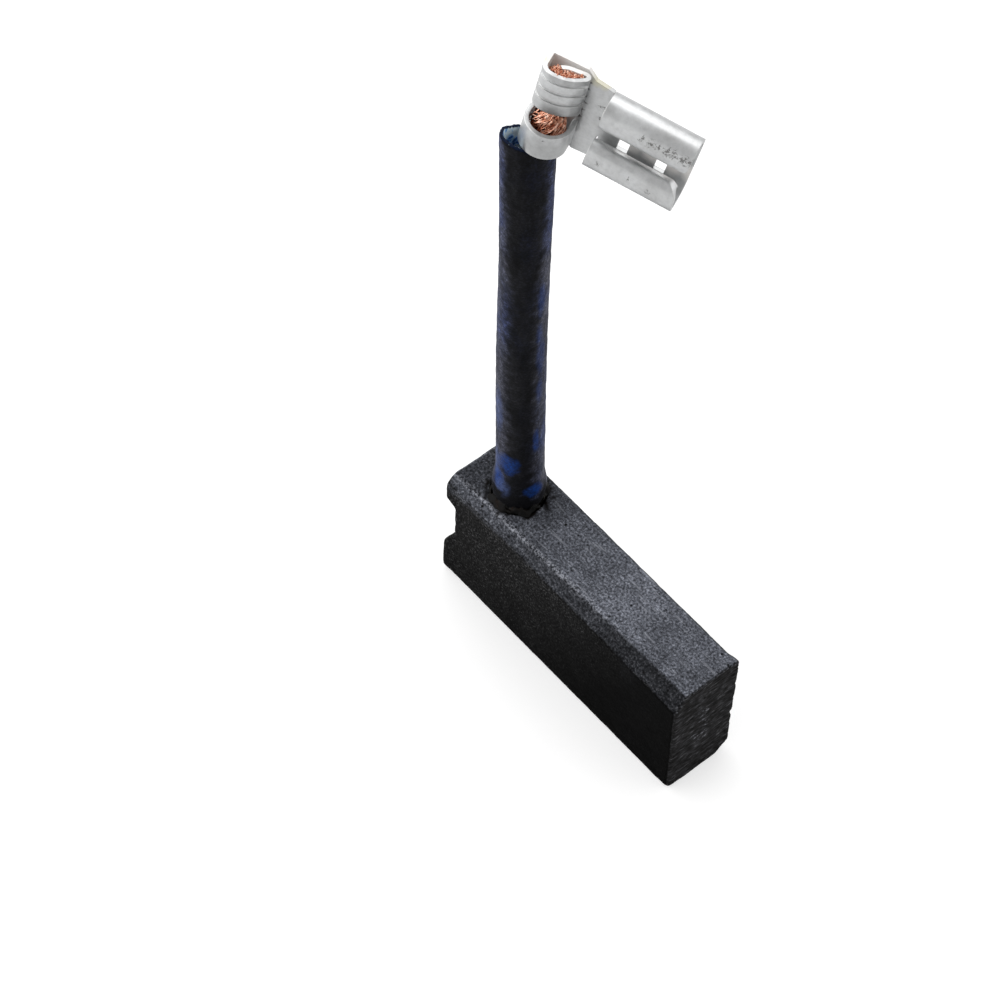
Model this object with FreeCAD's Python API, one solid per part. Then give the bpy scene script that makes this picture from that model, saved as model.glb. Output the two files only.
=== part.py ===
import FreeCAD, Part
import math
import os
from FreeCAD import Matrix, Placement, Rotation, Vector

# Carbon brush with a sleeved copper lead and a flag terminal, in millimetres, +Z up.
# The origin is the middle of the block's underside. +X runs along the block, from the spring
# seat to the contact face. The lead leaves the top face near the spring seat.

# Carbon block
block_length = 29.9
block_width = 7.0
block_height = 13.7
near_bevel_width_rear = 0.9
near_bevel_width_front = 1.3
near_bevel_drop_rear = 0.7
near_bevel_drop_front = 1.6
far_bevel = 0.28
foot_bevel = 0.3
worn_foot_bevel = 1.3
end_edge_bevel = 0.25
rear_corner_width = 1.5
rear_corner_depth_foot = 0.12
rear_corner_depth_top = 0.45

# Spring seat: a groove across the rear end, between two rounded lobes
seat_depth = 1.35
seat_floor_low = 6.5
seat_floor_high = 10.2
seat_upper_lip = 0.8
seat_lower_flank = 2.9
lobe_toe_radius = 0.9
lower_lobe_radius = 2.2
seat_floor_radius = 0.8
upper_lip_radius = 0.4
upper_lobe_radius = 0.5

# Lead hole in the top face: a wide mouth for the sleeve, then the tamped bore
hole_from_rear = 5.1
hole_sideways = 0.42
sleeve_socket_diameter = 5.0
sleeve_socket_depth = 1.5
bore_diameter = 4.0
bore_depth = 8.0
lead_bottom_gap = 0.5
bend_share = 0.45

# Lead and sleeve
lead_diameter = 1.9
sleeve_diameter = 4.2
sleeve_wall = 0.35
mouth_width = 4.55
mouth_depth = 3.0
mouth_heading = 47.5
mouth_cut_heading = 62.9
mouth_cut_slope = 20.7
mouth_run_on = 0.25
bead_rise = 1.1
bead_spread = 0.35
bead_sag = 0.4

# Flag terminal: one folded sheet that takes a 6.3 x 0.8 tab
sheet = 0.38
receptacle_length = 7.7
receptacle_width = 7.6
wing_inside_radius = 1.18
wing_turn = 215.0
lip_inside_radius = 0.62
lip_turn = 70.0
lip_corner_radius = 1.2
tab_rest_height = 0.45
tab_rest_diameter = 2.3
window_length = 0.92
window_width = 4.8
window_rear = -1.76
window_front = 1.49
flag_droop = 3.0
flag_centre_out = 7.46
flag_centre_up = 3.15
neck_width = 4.4
neck_length = 0.24
relief_slit = 0.12

# Plate between the lead's side of the terminal and the receptacle
plate_top_out = 2.03
plate_top_up = 6.6
plate_shoulder = 2.95
plate_skirt = 4.6
plate_foot_out = 1.7
plate_foot_drop = 1.3

# Insulation ring and conductor crimp, measured from the middle of the ring's foot
plate_back = 2.0
ring_outside_radius = 1.98
ring_height = 2.4
ring_back_end = 0.6
ring_back_run = 0.8
ring_left_run = 0.25
ring_right_turn = 182.0
ring_right_run = 1.15
slot_height = 1.0
slot_reach = 1.2
crimp_height = 4.0
crimp_left_end = -1.69
crimp_corner_inside = 0.08
crimp_corner_turn = 92.0
crimp_side_run = 1.14
crimp_shoulder_inside = 0.67
crimp_shoulder_turn = 78.0
crimp_front_inside = 2.52
crimp_front_turn = 50.0
crimp_front_run = 0.5
crimp_cheek_inside = 0.22
crimp_cheek_turn = 50.0
crimp_fold_inside = 0.08
crimp_fold_turn = 97.0
crimp_ear_run = 1.2
crimp_ear_inside = 1.12
crimp_ear_turn = 35.0
groove_width = 0.3
groove_depth = 0.1
groove_first = 1.1
groove_pitch = 1.06
groove_count = 3
crimp_clearance = 0.02
strand_stub = 0.1
flattening_length = 0.6
rod_end_gap = 0.3

# Where the terminal hangs: the middle of its ring's foot, and its turns about Z, Y and X
ring_foot = Vector(-9.54, 1.01, 61.69)
terminal_yaw = 24.0
terminal_pitch = 7.9
terminal_roll = -7.25

hole_x = hole_from_rear - block_length / 2
hole_y = hole_sideways
socket_floor = block_height - sleeve_socket_depth
bore_floor = socket_floor - bore_depth
lead_foot = bore_floor + lead_bottom_gap
crimp_foot = ring_height + slot_height
terminal_place = Placement(ring_foot, Rotation(terminal_yaw, terminal_pitch, terminal_roll))

# Routes chosen by hand. The sleeve stands nearly straight from its socket to its mouth.
sleeve_route = [
    Vector(hole_x, hole_y, 18.5),
    Vector(-10.10, 0.13, 32.5),
    Vector(-10.20, 0.05, 45.0),
    Vector(-10.34, -0.12, 61.79),
]

# The lead keeps to the sleeve's middle, then leans over into the ring and the crimp.
lead_route = [Vector(hole_x, hole_y, lead_foot)] + sleeve_route[:3] + [
    Vector(-10.16, 0.07, 55.4),
    terminal_place.multVec(Vector(-0.5, -0.45, -0.5)),
    terminal_place.multVec(Vector(0.0, 0.06, crimp_foot - rod_end_gap)),
]


def rounded_outline(corners):
    """Closed wire in the XZ plane through (x, z, radius) corners, each rounded by its radius."""
    count = len(corners)
    points = [Vector(x, 0, z) for x, z, radius in corners]
    arcs = []
    for i in range(count):
        radius = corners[i][2]
        before = (points[i - 1] - points[i]).normalize()
        after = (points[(i + 1) % count] - points[i]).normalize()
        half = before.getAngle(after) / 2
        reach = radius / math.tan(half)
        middle_way = (before + after).normalize()
        middle = points[i] + middle_way * (radius / math.sin(half) - radius)
        arcs.append((points[i] + before * reach, middle, points[i] + after * reach))
    edges = []
    for i in range(count):
        if corners[i][2] > 0:
            edges.append(Part.Arc(*arcs[i]).toShape())
        edges.append(Part.LineSegment(arcs[i][2], arcs[(i + 1) % count][0]).toShape())
    return Part.Wire(edges)


def edge_wedge(start, end, inward, across, start_reach, end_reach):
    """Solid that bevels the straight edge from start to end.

    Inward and across point from the edge along its two faces. The reaches at the start and at
    the end are (along inward, along across) pairs."""
    overrun = 1.0
    along = end - start
    growth = [(last - first) * overrun / along.Length for first, last in zip(start_reach, end_reach)]
    along.normalize()
    sections = []
    for point, sign, reach in ((start, -1, start_reach), (end, 1, end_reach)):
        corner = point + along * sign * overrun
        wide, deep = [size + sign * grow for size, grow in zip(reach, growth)]
        first = corner + inward * wide
        last = corner + across * deep
        outer = corner - inward - across
        tips = [first * 2 - last, outer, last * 2 - first]
        sections.append(Part.makePolygon(tips + tips[:1]))
    return Part.makeLoft(sections, True, True)


def make_block():
    """Pressed block with its spring seat, bevels, sleeve socket and lead bore."""
    rear = -block_length / 2
    front = block_length / 2
    near = -block_width / 2
    far = block_width / 2
    seat = rear + seat_depth
    profile = [
        (rear, 0, lobe_toe_radius),
        (rear, seat_floor_low - seat_lower_flank, lower_lobe_radius),
        (seat, seat_floor_low, seat_floor_radius),
        (seat, seat_floor_high, seat_floor_radius),
        (rear, seat_floor_high + seat_upper_lip, upper_lip_radius),
        (rear, block_height, upper_lobe_radius),
        (front, block_height, 0),
        (front, 0, 0),
    ]
    block = Part.Face(rounded_outline(profile)).extrude(Vector(0, block_width, 0))
    block.translate(Vector(0, near, 0))
    ends = [edge for edge in block.Edges
            if edge.CenterOfMass.x > front - end_edge_bevel and abs(edge.CenterOfMass.y) > far - end_edge_bevel]
    block = block.makeChamfer(end_edge_bevel, ends)
    slim = (far_bevel, far_bevel)
    foot = (foot_bevel, foot_bevel)
    worn_foot = (worn_foot_bevel, worn_foot_bevel)
    length_way = Vector(1, 0, 0)
    far_way = Vector(0, 1, 0)
    up = Vector(0, 0, 1)
    near_foot = Vector(rear, near, 0)
    near_top = Vector(rear, near, block_height)
    far_foot = Vector(rear, far, 0)
    far_top = Vector(rear, far, block_height)
    run = length_way * block_length
    cutters = [
        edge_wedge(near_top, near_top + run, far_way, -up, (near_bevel_width_rear, near_bevel_drop_rear),
                   (near_bevel_width_front, near_bevel_drop_front)),
        edge_wedge(far_top, far_top + run, -far_way, -up, slim, slim),
        edge_wedge(near_foot, near_foot + run, far_way, up, foot, foot),
        edge_wedge(far_foot, far_foot + run, -far_way, up, foot, worn_foot),
        edge_wedge(near_foot, near_top, far_way, length_way, (rear_corner_width, rear_corner_depth_foot),
                   (rear_corner_width, rear_corner_depth_top)),
        Part.makeCylinder(sleeve_socket_diameter / 2, block_height, Vector(hole_x, hole_y, socket_floor)),
        Part.makeCylinder(bore_diameter / 2, block_height, Vector(hole_x, hole_y, bore_floor)),
    ]
    return block.cut(cutters)


def make_tamping_plug():
    """Compacted powder that fills the bore round the lead."""
    plug = Part.makeCylinder(bore_diameter / 2, bore_depth, Vector(hole_x, hole_y, bore_floor))
    return plug.cut(Part.makeCylinder(lead_diameter / 2, bore_depth, Vector(hole_x, hole_y, lead_foot)))


def make_varnish_bead():
    """Ring of varnish in the sleeve's socket, drawn up against the sleeve."""
    inner = sleeve_diameter / 2
    outer = sleeve_socket_diameter / 2
    floor = Vector(inner, 0, socket_floor)
    ledge = Vector(outer, 0, socket_floor)
    rim = Vector(outer, 0, block_height)
    edge = Vector(outer + bead_spread, 0, block_height)
    crest = Vector(inner, 0, block_height + bead_rise)
    sag = (edge + crest) * 0.5 + Vector(-bead_spread, 0, -bead_spread) * bead_sag
    lines = [Part.LineSegment(a, b).toShape() for a, b in ((crest, floor), (floor, ledge), (ledge, rim), (rim, edge))]
    outline = Part.Wire(lines + [Part.Arc(edge, sag, crest).toShape()])
    bead = Part.Face(outline).revolve(Vector(0, 0, 0), Vector(0, 0, 1), 360)
    bead.translate(Vector(hole_x, hole_y, 0))
    return bead


def sleeve_section(centre, inset):
    """Level section of the sleeve, round at the last straight point and flattened at the mouth."""
    round_up_to = sleeve_route[-2].z
    mouth = sleeve_route[-1].z
    share = max(0, (centre.z - round_up_to) / (mouth - round_up_to))
    wide = sleeve_diameter / 2 + (mouth_width - sleeve_diameter) / 2 * share - inset
    deep = sleeve_diameter / 2 + (mouth_depth - sleeve_diameter) / 2 * share - inset
    section = Part.Wire(Part.Ellipse(Vector(0, 0, 0), wide, deep).toShape())
    section.Placement = Placement(centre, Rotation(Vector(0, 0, 1), mouth_heading))
    return section


def sleeve_body(inset):
    """Outer form of the sleeve, or its inside for an inset, run on above the mouth."""
    run_on = (sleeve_route[-1] - sleeve_route[-2]) * mouth_run_on
    centres = sleeve_route + [sleeve_route[-1] + run_on]
    upper = Part.makeLoft([sleeve_section(centre, inset) for centre in centres], True, False)
    foot = Vector(hole_x, hole_y, socket_floor)
    lower = Part.makeCylinder(sleeve_diameter / 2 - inset, sleeve_route[0].z - socket_floor, foot)
    return lower.fuse(upper)


def make_sleeve():
    """Hollow sleeve with a flattened mouth that is cut at a slope."""
    reach = 4 * mouth_width
    above = Part.makeBox(reach, reach, reach, Vector(-reach / 2, -reach / 2, 0))
    slope = Placement(Vector(0, 0, 0), Rotation(Vector(0, 1, 0), mouth_cut_slope))
    turn = Placement(sleeve_route[-1], Rotation(Vector(0, 0, 1), mouth_cut_heading))
    above.Placement = turn * slope * above.Placement
    return sleeve_body(0).cut([sleeve_body(sleeve_wall), above]).removeSplitter()


def route_wire(points):
    """Straight runs joined by tangent arcs, each as large as its two runs allow, and the radii."""
    edges = []
    radii = []
    start = points[0]
    for i in range(1, len(points) - 1):
        before = points[i - 1] - points[i]
        after = points[i + 1] - points[i]
        reach = bend_share * min(before.Length, after.Length)
        half = before.getAngle(after) / 2
        radius = reach * math.tan(half)
        radii.append(radius)
        before.normalize()
        after.normalize()
        middle_way = (before + after).normalize()
        middle = points[i] + middle_way * (radius / math.sin(half) - radius)
        arc_start = points[i] + before * reach
        arc_end = points[i] + after * reach
        edges.append(Part.LineSegment(start, arc_start).toShape())
        edges.append(Part.Arc(arc_start, middle, arc_end).toShape())
        start = arc_end
    edges.append(Part.LineSegment(start, points[-1]).toShape())
    return Part.Wire(edges), radii


def heading_vectors(angle):
    """Forward and left unit vectors of a heading in the XY plane."""
    forward = Vector(math.cos(angle), math.sin(angle), 0)
    return forward, Vector(-forward.y, forward.x, 0)


def fold_line(start, heading, moves, depth):
    """Edges of a folded sheet's line at a depth below its outer face, and that line's two ends.

    The moves are ("run", length) and ("bend", inside radius, degrees to the left)."""
    angle = math.radians(heading)
    point = start
    last = point + heading_vectors(angle)[1] * depth
    first = last
    edges = []
    for move in moves:
        forward, left = heading_vectors(angle)
        if move[0] == "run":
            point = point + forward * move[1]
            following = point + left * depth
            edges.append(Part.LineSegment(last, following).toShape())
        else:
            outer_radius = move[1] + sheet
            turn = math.radians(move[2])
            centre = point + left * outer_radius
            middle = centre - heading_vectors(angle + turn / 2)[1] * (outer_radius - depth)
            angle = angle + turn
            point = centre - heading_vectors(angle)[1] * outer_radius
            following = centre - heading_vectors(angle)[1] * (outer_radius - depth)
            edges.append(Part.Arc(last, middle, following).toShape())
        last = following
    return edges, first, last


def folded_strip(start, heading, moves, outer_depth, inner_depth, height):
    """Strip of a folded sheet between two depths below its outer face, raised along Z."""
    outer, outer_first, outer_last = fold_line(start, heading, moves, outer_depth)
    inner, inner_first, inner_last = fold_line(start, heading, moves, inner_depth)
    end_cap = Part.LineSegment(outer_last, inner_last).toShape()
    start_cap = Part.LineSegment(inner_first, outer_first).toShape()
    outline = Part.Wire(outer + [end_cap] + inner[::-1] + [start_cap])
    return Part.Face(outline).extrude(Vector(0, 0, height))


def crimp_moves():
    """Folds of the crimp: along the back, round the left corner, across the front, tucked in."""
    return [
        ("run", slot_reach - crimp_left_end),
        ("bend", crimp_corner_inside, crimp_corner_turn),
        ("run", crimp_side_run),
        ("bend", crimp_shoulder_inside, crimp_shoulder_turn),
        ("bend", crimp_front_inside, crimp_front_turn),
        ("run", crimp_front_run),
        ("bend", crimp_cheek_inside, crimp_cheek_turn),
        ("bend", crimp_fold_inside, crimp_fold_turn),
        ("run", crimp_ear_run),
        ("bend", crimp_ear_inside, crimp_ear_turn),
    ]


def make_crimp():
    """Conductor crimp with its shallow grooves."""
    start = Vector(slot_reach, plate_back, crimp_foot)
    crimp = folded_strip(start, 180, crimp_moves(), 0, sheet, crimp_height)
    grooves = []
    for i in range(groove_count):
        level = start + Vector(0, 0, groove_first + i * groove_pitch)
        grooves.append(folded_strip(level, 180, crimp_moves()[:7], -groove_depth, groove_depth, groove_width))
    return crimp.cut(grooves)


def make_receptacle():
    """Base, two curled wings, windows and tab rest. X runs across, Y off the back, Z to the mouth."""
    wing_radius = wing_inside_radius + sheet
    lip_radius = lip_inside_radius + sheet
    wing_foot = receptacle_width / 2 - wing_radius
    moves = [("run", wing_foot), ("bend", wing_inside_radius, wing_turn), ("bend", lip_inside_radius, lip_turn)]
    half = folded_strip(Vector(0, 0, -receptacle_length / 2), 0, moves, 0, sheet, receptacle_length)
    lip_angle = math.radians(wing_turn - 90)
    lip_edge = wing_foot + (wing_radius - lip_radius) * math.cos(lip_angle) - lip_radius
    corner = Vector(lip_edge + lip_corner_radius, wing_radius / 2, receptacle_length / 2 - lip_corner_radius)
    block = Part.makeBox(lip_corner_radius * 2, wing_radius * 2, lip_corner_radius * 2,
                         corner - Vector(lip_corner_radius * 2, 0, 0))
    round_corner = Part.makeCylinder(lip_corner_radius, wing_radius * 2, corner, Vector(0, 1, 0))
    half = half.cut(block.cut(round_corner))
    body = half.fuse(half.mirror(Vector(0, 0, 0), Vector(1, 0, 0)))
    rest_radius = (tab_rest_height ** 2 + (tab_rest_diameter / 2) ** 2) / (2 * tab_rest_height)
    rest_centre = Vector(0, sheet + tab_rest_height - rest_radius, (window_rear + window_front) / 2)
    dome = Part.makeSphere(rest_radius, rest_centre)
    room = Part.makeBox(tab_rest_diameter, sheet + tab_rest_height, tab_rest_diameter,
                        rest_centre + Vector(-tab_rest_diameter / 2, sheet / 2 - rest_centre.y, -tab_rest_diameter / 2))
    neck = Part.makeBox(neck_width, sheet, neck_length,
                        Vector(-neck_width / 2, 0, -receptacle_length / 2 - neck_length))
    body = body.fuse([dome.common(room), neck])
    cuts = [Part.makeSphere(rest_radius - sheet, rest_centre)]
    for middle in (window_rear, window_front):
        cuts.append(Part.makeBox(window_width, 2 * sheet, window_length,
                                 Vector(-window_width / 2, -sheet / 2, middle - window_length / 2)))
    return body.cut(cuts).removeSplitter()


def make_terminal():
    """Flag terminal in its place: receptacle, plate, insulation ring and crimp in one sheet."""
    across_up = Rotation(Vector(0, 0, 1), Vector(0, -1, 0), Vector(1, 0, 0), "XYZ")
    flag_centre = Vector(flag_centre_out, plate_back, flag_centre_up)
    flag_place = Placement(flag_centre, Rotation(Vector(0, 1, 0), flag_droop) * across_up)
    receptacle = make_receptacle()
    receptacle.Placement = flag_place
    plate_end = -receptacle_length / 2 - relief_slit
    shoulder = flag_place.multVec(Vector(plate_shoulder, 0, plate_end))
    skirt = flag_place.multVec(Vector(-plate_skirt, 0, plate_end))
    outline = [
        (slot_reach, crimp_foot + crimp_height),
        (plate_top_out, plate_top_up),
        (shoulder.x, shoulder.z),
        (skirt.x, skirt.z),
        (plate_foot_out, -plate_foot_drop),
        (ring_back_end, 0),
        (ring_back_end, ring_height),
        (slot_reach, ring_height),
    ]
    corners = [Vector(x, plate_back - sheet, z) for x, z in outline]
    plate = Part.Face(Part.makePolygon(corners + corners[:1])).extrude(Vector(0, sheet, 0))
    ring_inside = ring_outside_radius - sheet
    ring_moves = [
        ("run", ring_back_run),
        ("bend", ring_inside, 90.0),
        ("run", ring_left_run),
        ("bend", ring_inside, ring_right_turn),
        ("run", ring_right_run),
    ]
    ring = folded_strip(Vector(ring_back_end, plate_back, 0), 180, ring_moves, 0, sheet, ring_height)
    terminal = plate.fuse([ring, make_crimp(), receptacle]).removeSplitter()
    terminal.Placement = terminal_place
    return terminal


def make_pigtail():
    """Stranded lead as one rod, flattened where the crimp holds it, and its bend radii."""
    wire, radii = route_wire(lead_route)
    ring = Part.Wire(Part.Circle(lead_route[0], Vector(0, 0, 1), lead_diameter / 2).toShape())
    rod = wire.makePipeShell([ring], True, False)
    start = Vector(slot_reach, plate_back, crimp_foot - flattening_length)
    pocket, first, last = fold_line(start, 180, crimp_moves(), sheet + crimp_clearance)
    outline = pocket[2:] + [Part.LineSegment(last, pocket[1].Vertexes[-1].Point).toShape()]
    height = flattening_length + crimp_height + strand_stub
    strands = Part.Face(Part.Wire(outline)).extrude(Vector(0, 0, height))
    strands.Placement = terminal_place
    return rod.fuse(strands), radii


os.makedirs("parts", exist_ok=True)
pigtail, lead_radii = make_pigtail()
nodes = {
    "carbon_block": make_block(),
    "tamping_plug": make_tamping_plug(),
    "pigtail": pigtail,
    "insulating_sleeve": make_sleeve(),
    "varnish_bead": make_varnish_bead(),
    "flag_terminal": make_terminal(),
}
for name, shape in nodes.items():
    solid = shape.Solids[0]
    solid.exportStep(os.path.join("parts", name + ".step"))
    box = solid.optimalBoundingBox()
    print(name, len(shape.Solids), "solid", solid.isValid(), round(solid.Volume, 2), "mm3",
          [round(value, 2) for value in (box.XMin, box.XMax, box.YMin, box.YMax, box.ZMin, box.ZMax)])
print("lead bend radii", [round(radius, 1) for radius in lead_radii])
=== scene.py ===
import bisect
import math
import random

import bmesh
import bpy
from mathutils import Matrix, Vector, noise
from mathutils.bvhtree import BVHTree


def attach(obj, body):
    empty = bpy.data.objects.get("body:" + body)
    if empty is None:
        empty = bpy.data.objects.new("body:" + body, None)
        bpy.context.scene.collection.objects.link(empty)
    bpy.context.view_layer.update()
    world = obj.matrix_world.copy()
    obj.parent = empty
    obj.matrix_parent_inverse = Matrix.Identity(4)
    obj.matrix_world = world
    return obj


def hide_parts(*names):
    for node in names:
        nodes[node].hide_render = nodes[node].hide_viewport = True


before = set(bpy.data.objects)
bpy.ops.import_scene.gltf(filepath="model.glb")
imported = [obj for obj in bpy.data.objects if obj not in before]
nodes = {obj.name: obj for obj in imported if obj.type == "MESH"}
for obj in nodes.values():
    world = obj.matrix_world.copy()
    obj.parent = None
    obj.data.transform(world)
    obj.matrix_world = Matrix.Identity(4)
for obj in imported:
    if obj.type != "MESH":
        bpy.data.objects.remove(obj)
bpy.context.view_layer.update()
MM = 0.001

# Camera of the photograph, fitted to the block's edges and the terminal
CAMERA_PLACE = Vector((154.76, -152.77, 343.03)) * MM
CAMERA_RIGHT = Vector((0.6462, 0.7627, 0.0269))
CAMERA_UP = Vector((-0.6411, 0.5233, 0.5614))
CAMERA_BACK = Vector((0.4141, -0.3800, 0.8271))
SENSOR_WIDTH = 36.0
LENS = 167.27

# Studio walls: direction, start, strength and blend. Bright left and right of the camera, dark behind it
STUDIO_WALLS = [
    (Vector((-0.75, -0.66, 0.0)), 0.2, 2.0, "ADD"),
    (Vector((0.66, 0.75, 0.0)), 0.3, 0.7, "ADD"),
    (Vector((0.46, -0.42, 0.78)), 0.45, 0.5, "MULTIPLY"),
]
WALL_FULL = 0.95
FLOOR_HALF = 3.0
FLOOR_SHADE = 0.55
FLOOR_CAMERA_LIFT = 0.55
FLOOR_GLOSSY_LIFT = 0.1

# Sizes and places from here on are in millimetres, with heights above the block's underside
BLOCK_FRONT = 14.95
BLOCK_SIDE = 3.5
BLOCK_TOP = 13.7
BLOCK_VOXEL = 0.15
NEAR_BEVEL_REAR = 0.9
NEAR_BEVEL_FRONT = 1.3
HOLE = Vector((-9.85, 0.42, 0.0))
STAIN_FULL = 2.5
STAIN_EDGE = 2.95

# Rounding of the block by smoothing: how far an edge stands out, how far the worn ends reach, and turns
SHARP_EDGE = 0.018
WORN_REACH = 1.4
EDGE_TURNS = 3
REAR_TURNS = 16
FOOT_TURNS = 6

# Lead and sleeve as in the CAD part
LEAD_DIAMETER = 1.9
SLEEVE_RADIUS = 2.1
SLEEVE_WALL = 0.35
LEAD_ROUTE = [
    (-9.85, 0.42, 4.7),
    (-9.85, 0.42, 18.5),
    (-10.10, 0.13, 32.5),
    (-10.20, 0.05, 45.0),
    (-10.16, 0.07, 55.4),
    (-9.840, 0.319, 61.324),
    (-9.338, 1.593, 64.729),
]
SLEEVE_ROUTE = [
    (-9.85, 0.42, 12.2),
    (-9.85, 0.42, 18.5),
    (-10.10, 0.13, 32.5),
    (-10.20, 0.05, 45.0),
    (-10.34, -0.12, 61.79),
    (-10.36, -0.14, 64.0),
]

# Sleeve's surface: its section is round up to one height and keeps its own oval above the other
SLEEVE_VOXEL = 0.14
WALL_TURNS = 4
WEAVE_COUNT = 22
WEAVE_SLOPE = 8.0
WEAVE_DEPTH = 0.003
ROUND_UP_TO = 46.0
OVAL_ABOVE = 50.0
LINING_ABOVE = 54.0
RIM_ABOVE = 57.0
ROUGH_ABOVE = 59.0
FLARE_HEIGHT = 15.3
FLARE_REACH = 1.5
FLARE_DEPTH = 0.28
FLARE_HEADING = math.radians(45)
BLACK_UP_TO = 15.4
DRY_ABOVE = 16.1
DYE_FADES_FROM = 20.0
DYE_FADED_ABOVE = 28.0

# Varnish bead: where it starts to thin out
BEAD_VOXEL = 0.12
BEAD_NECK = 2.3
BEAD_EDGE = 2.75

# Terminal's own axes in the part's frame: out along the flag, back through the plate, and up
TERMINAL_FOOT = Vector((-9.54, 1.01, 61.69)) * MM
TERMINAL_OUT = Vector((0.9049, 0.4029, -0.1374))
TERMINAL_BACK = Vector((-0.4193, 0.8992, -0.1250))
TERMINAL_UP = Vector((0.0732, 0.1707, 0.9826))
CRIMP_TOP = 7.4
SHEET_EDGE_RADIUS = 0.07

# Strands: bundles of the lead, loose strands in the ring and cut ends in the crimp
BUNDLES = 7
BUNDLE_SHARE = 0.32
BUNDLE_LAY = 11
LOOSE_STRANDS = 270
LOOSE_RADIUS = 0.042
LOOSE_STEPS = 25
LOOSE_START = -0.9
LOOSE_RISE = 4.6
STRAND_ENDS = 260
END_RADIUS = 0.055
END_DEPTH = 2.0
END_REACH = 2.6

# Blue dye left in the sleeve: turn about the lead in degrees, height, half width and half height
ROYAL_PATCHES = [
    (-72, 20.2, 1.0, 1.3),
    (-5, 16.4, 0.9, 0.8),
    (8, 35.4, 0.5, 2.6),
    (-100, 17.5, 0.7, 1.2),
    (4, 43.0, 0.4, 2.2),
    (2, 38.5, 0.35, 1.4),
    (6, 30.5, 0.4, 1.6),
    (-2, 23.5, 0.35, 1.6),
]
PALE_PATCHES = [
    (-84, 16.5, 0.8, 1.1),
    (-112, 19.5, 0.6, 2.0),
    (-104, 27.0, 0.6, 3.0),
]

# Places on the terminal are a point and a radius. Worn: dark marks on the wings, the plate and the ring
WORN_PLACES = [
    ((-2.1, 4.0, 66.6), 0.6),
    ((-1.4, 4.3, 66.4), 0.8),
    ((-0.9, 4.6, 66.4), 0.7),
    ((-0.2, 4.9, 66.2), 0.9),
    ((0.4, 5.2, 66.1), 0.8),
    ((1.1, 5.4, 66.0), 0.9),
    ((1.6, 5.7, 65.9), 0.7),
    ((-8.27, 4.19, 67.35), 0.35),
    ((-8.31, 4.06, 66.57), 0.4),
    ((-8.34, 3.94, 65.79), 0.35),
    ((-8.40, 3.82, 65.10), 0.4),
    ((-8.52, 3.66, 64.37), 0.5),
    ((-8.64, 3.50, 63.65), 0.6),
    ((-7.07, 4.5, 65.3), 0.6),
    ((-7.1, 4.3, 64.1), 0.4),
    ((-4.8, 2.1, 62.4), 0.4),
    ((-2.4, 3.2, 62.0), 0.45),
    ((-0.8, 3.8, 61.5), 0.5),
    ((-8.3, -0.5, 63.9), 0.25),
]

# Edges where the brass shows yellow
BRASS_PLACES = [
    ((-7.98, 4.63, 67.66), 0.8),
    ((-7.43, 4.97, 67.43), 0.7),
    ((-8.35, 4.31, 68.26), 0.6),
    ((-11.3, 2.3, 69.0), 0.8),
    ((-11.0, 2.33, 68.5), 0.6),
]

# Painted shade on the crimp's rim, at its lower end and round the ring
PAINTED_SHADE_PLACES = [
    ((-9.3, 1.4, 69.0), 0.7),
    ((-8.5, 2.0, 68.8), 0.7),
    ((-8.0, 2.8, 68.7), 0.8),
    ((-8.0, 3.7, 68.6), 0.8),
    ((-9.4, 0.9, 65.5), 0.9),
    ((-8.9, 1.3, 65.4), 1.0),
    ((-8.4, 1.9, 65.3), 1.1),
    ((-8.1, 2.4, 65.4), 1.1),
    ((-8.0, 2.6, 66.3), 0.9),
    ((-8.1, 2.8, 67.1), 0.8),
    ((-8.6, -0.8, 63.0), 1.6),
    ((-7.9, -0.2, 62.7), 1.6),
    ((-7.6, 0.9, 62.4), 1.6),
]

# Painted light: pale plating without gloss where shade falls, in the pocket behind the crimp and along the
# base between the wings
PAINTED_LIGHT_PLACES = [
    ((-10.8, 3.1, 68.3), 1.6),
    ((-10.0, 3.5, 68.3), 1.6),
    ((-9.2, 3.9, 68.3), 1.4),
    ((-4.3, 4.9, 62.8), 1.3),
    ((-2.6, 5.6, 62.5), 1.3),
    ((-1.0, 6.2, 62.1), 1.3),
    ((0.5, 6.9, 61.8), 1.3),
]


def make_camera():
    """Camera at the photograph's point of view."""
    camera = bpy.data.objects.new("camera", bpy.data.cameras.new("camera"))
    camera.data.sensor_width = SENSOR_WIDTH
    camera.data.lens = LENS
    turn = Matrix((CAMERA_RIGHT, CAMERA_UP, CAMERA_BACK)).transposed().to_4x4()
    camera.matrix_world = Matrix.Translation(CAMERA_PLACE) @ turn
    camera.data.clip_start = 0.01
    camera.data.clip_end = 20.0
    bpy.context.scene.collection.objects.link(camera)
    bpy.context.scene.camera = camera


def line_points(route):
    """Points along a smooth line, read from a NURBS spline that the route steers."""
    curve = bpy.data.curves.new("route_line", "CURVE")
    curve.dimensions = "3D"
    spline = curve.splines.new("NURBS")
    spline.points.add(len(route) - 1)
    for point, place in zip(spline.points, route):
        point.co = (*(Vector(place) * MM), 1.0)
    spline.order_u = 3
    spline.use_endpoint_u = True
    spline.resolution_u = 24
    line = bpy.data.objects.new("route_line", curve)
    mesh = bpy.data.meshes.new_from_object(line)
    points = [vertex.co.copy() for vertex in mesh.vertices]
    bpy.data.objects.remove(line)
    bpy.data.curves.remove(curve)
    bpy.data.meshes.remove(mesh)
    return points


make_camera()
LEAD_LINE = line_points(LEAD_ROUTE)
SLEEVE_LINE = line_points(SLEEVE_ROUTE)
SLEEVE_HEIGHTS = [place.z for place in SLEEVE_LINE]


def new_material(name):
    """Empty node material with its principled shader."""
    material = bpy.data.materials.new(name)
    material.use_nodes = True
    return material, material.node_tree, material.node_tree.nodes["Principled BSDF"]


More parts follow.
